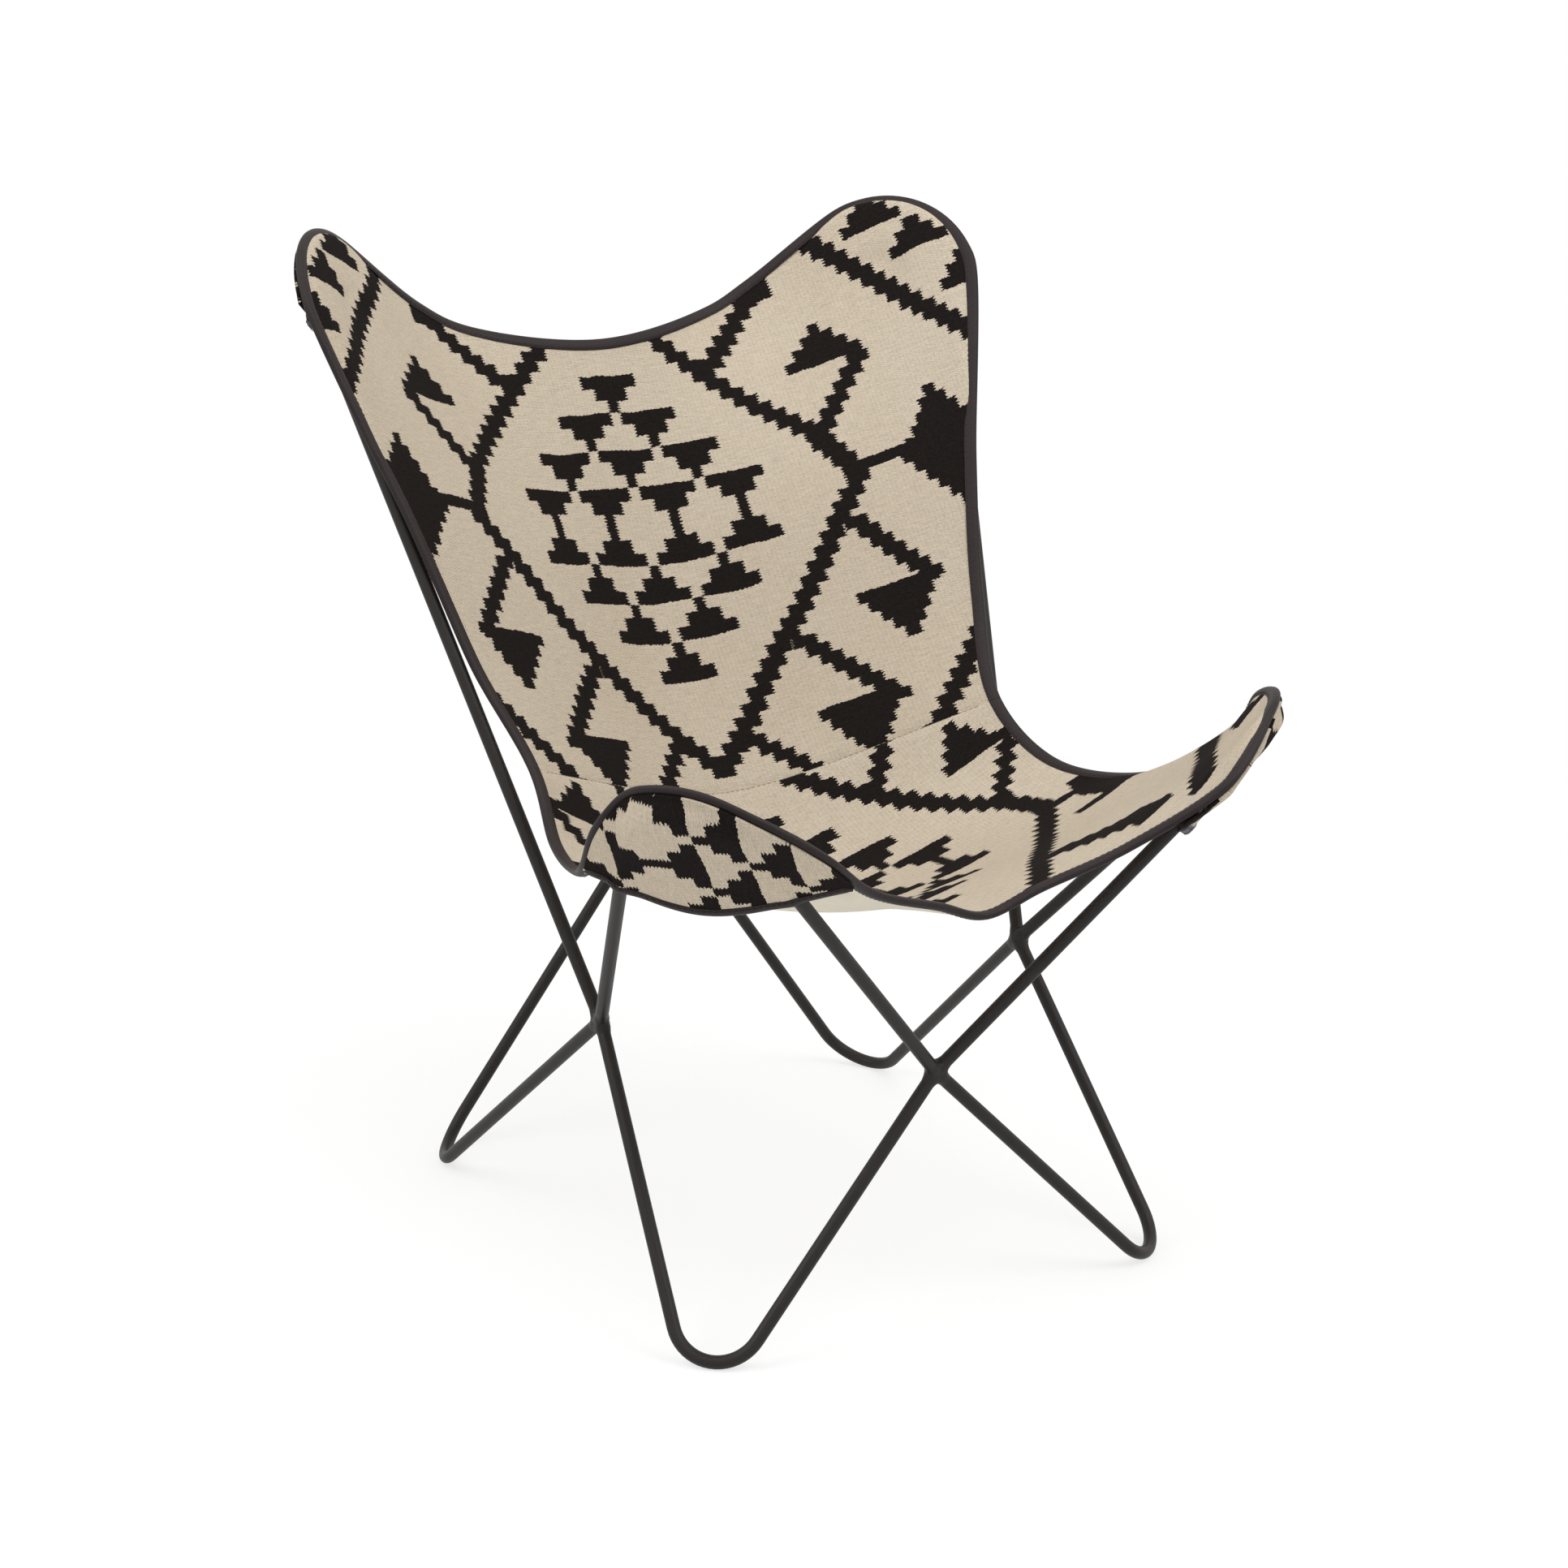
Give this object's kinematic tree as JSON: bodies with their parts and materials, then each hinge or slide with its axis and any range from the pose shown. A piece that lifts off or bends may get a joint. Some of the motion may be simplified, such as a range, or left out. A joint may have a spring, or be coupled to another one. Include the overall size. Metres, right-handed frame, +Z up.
{
  "type": "butterfly sling chair",
  "caption": "Butterfly sling chair: a welded frame of bent black steel rod carrying a lined kilim cover with leather-bound edges by corner pockets.",
  "frame": {"origin": "on the floor under the middle of the chair's bounding box", "axes": "+Z up, -Y the way the sitter faces, +X the sitter's left"},
  "size_m": [0.717, 0.802, 0.9014],
  "materials": {
    "black_steel": "matte black paint",
    "kilim": "flat woven wool, cream with near-black stepped motifs",
    "canvas": "plain woven canvas",
    "leather": "dark brown-black, stitched"
  },
  "bodies": {
    "root": {"front_foot_rod_left": "black_steel", "rear_foot_rod_left": "black_steel", "front_wing_rod_left": "black_steel", "back_wing_rod_left": "black_steel", "weld_left": "black_steel", "front_pocket_left": "kilim", "front_hem_left": "leather", "back_pocket_left": "kilim", "back_hem_left": "leather", "front_foot_rod_right": "black_steel", "rear_foot_rod_right": "black_steel", "front_wing_rod_right": "black_steel", "back_wing_rod_right": "black_steel", "weld_right": "black_steel", "front_pocket_right": "kilim", "front_hem_right": "leather", "back_pocket_right": "kilim", "back_hem_right": "leather", "weld_front": "black_steel", "weld_rear": "black_steel", "back_panel": "kilim", "seat_panel": "kilim", "back_lining": "canvas", "seat_lining": "canvas", "binding_back": "leather", "binding_front": "leather"}
  },
  "joints": []
}
